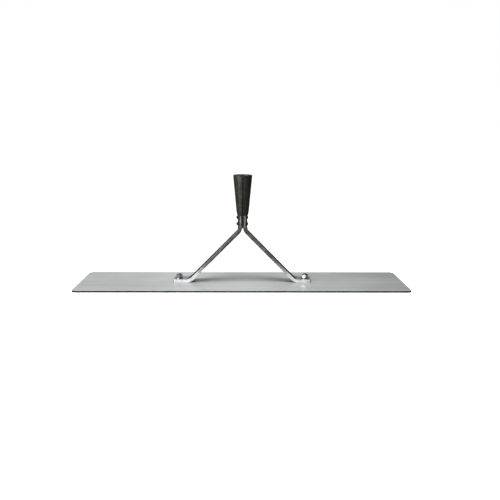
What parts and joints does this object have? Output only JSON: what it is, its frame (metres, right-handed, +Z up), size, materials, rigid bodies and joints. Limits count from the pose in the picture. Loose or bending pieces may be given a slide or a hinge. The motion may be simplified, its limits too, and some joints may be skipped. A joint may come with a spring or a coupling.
{
  "type": "long steel finishing trowel",
  "caption": "Long flat steel finishing trowel blade with a two-armed flat-bar yoke and a tapered open socket for a pole handle.",
  "frame": {"origin": "centre of the blade's underside, on the surface that the trowel rests on", "axes": "+X along the blade's length, +Y across the blade from its front edge to its back edge, +Z up along the handle socket's axis"},
  "size_m": [0.61, 0.127, 0.2033],
  "materials": {
    "blade_steel": "fine brushing along the blade",
    "arm_steel": "rolled flat bar, darkened by heat near the socket and bright at the feet",
    "forged_steel": "dark forging scale, oiled",
    "rivet_steel": "blackened",
    "fastener_zinc": "bright zinc plate"
  },
  "bodies": {
    "root": {"blade": "blade_steel", "left_arm": "arm_steel", "right_arm": "arm_steel", "handle_socket": "forged_steel", "yoke_spacer": "forged_steel", "upper_socket_rivet": "rivet_steel", "lower_socket_rivet": "rivet_steel", "left_foot_screw": "fastener_zinc", "right_foot_screw": "fastener_zinc", "left_spring_washer": "fastener_zinc", "right_spring_washer": "fastener_zinc", "left_foot_nut": "fastener_zinc", "right_foot_nut": "fastener_zinc"}
  },
  "joints": []
}
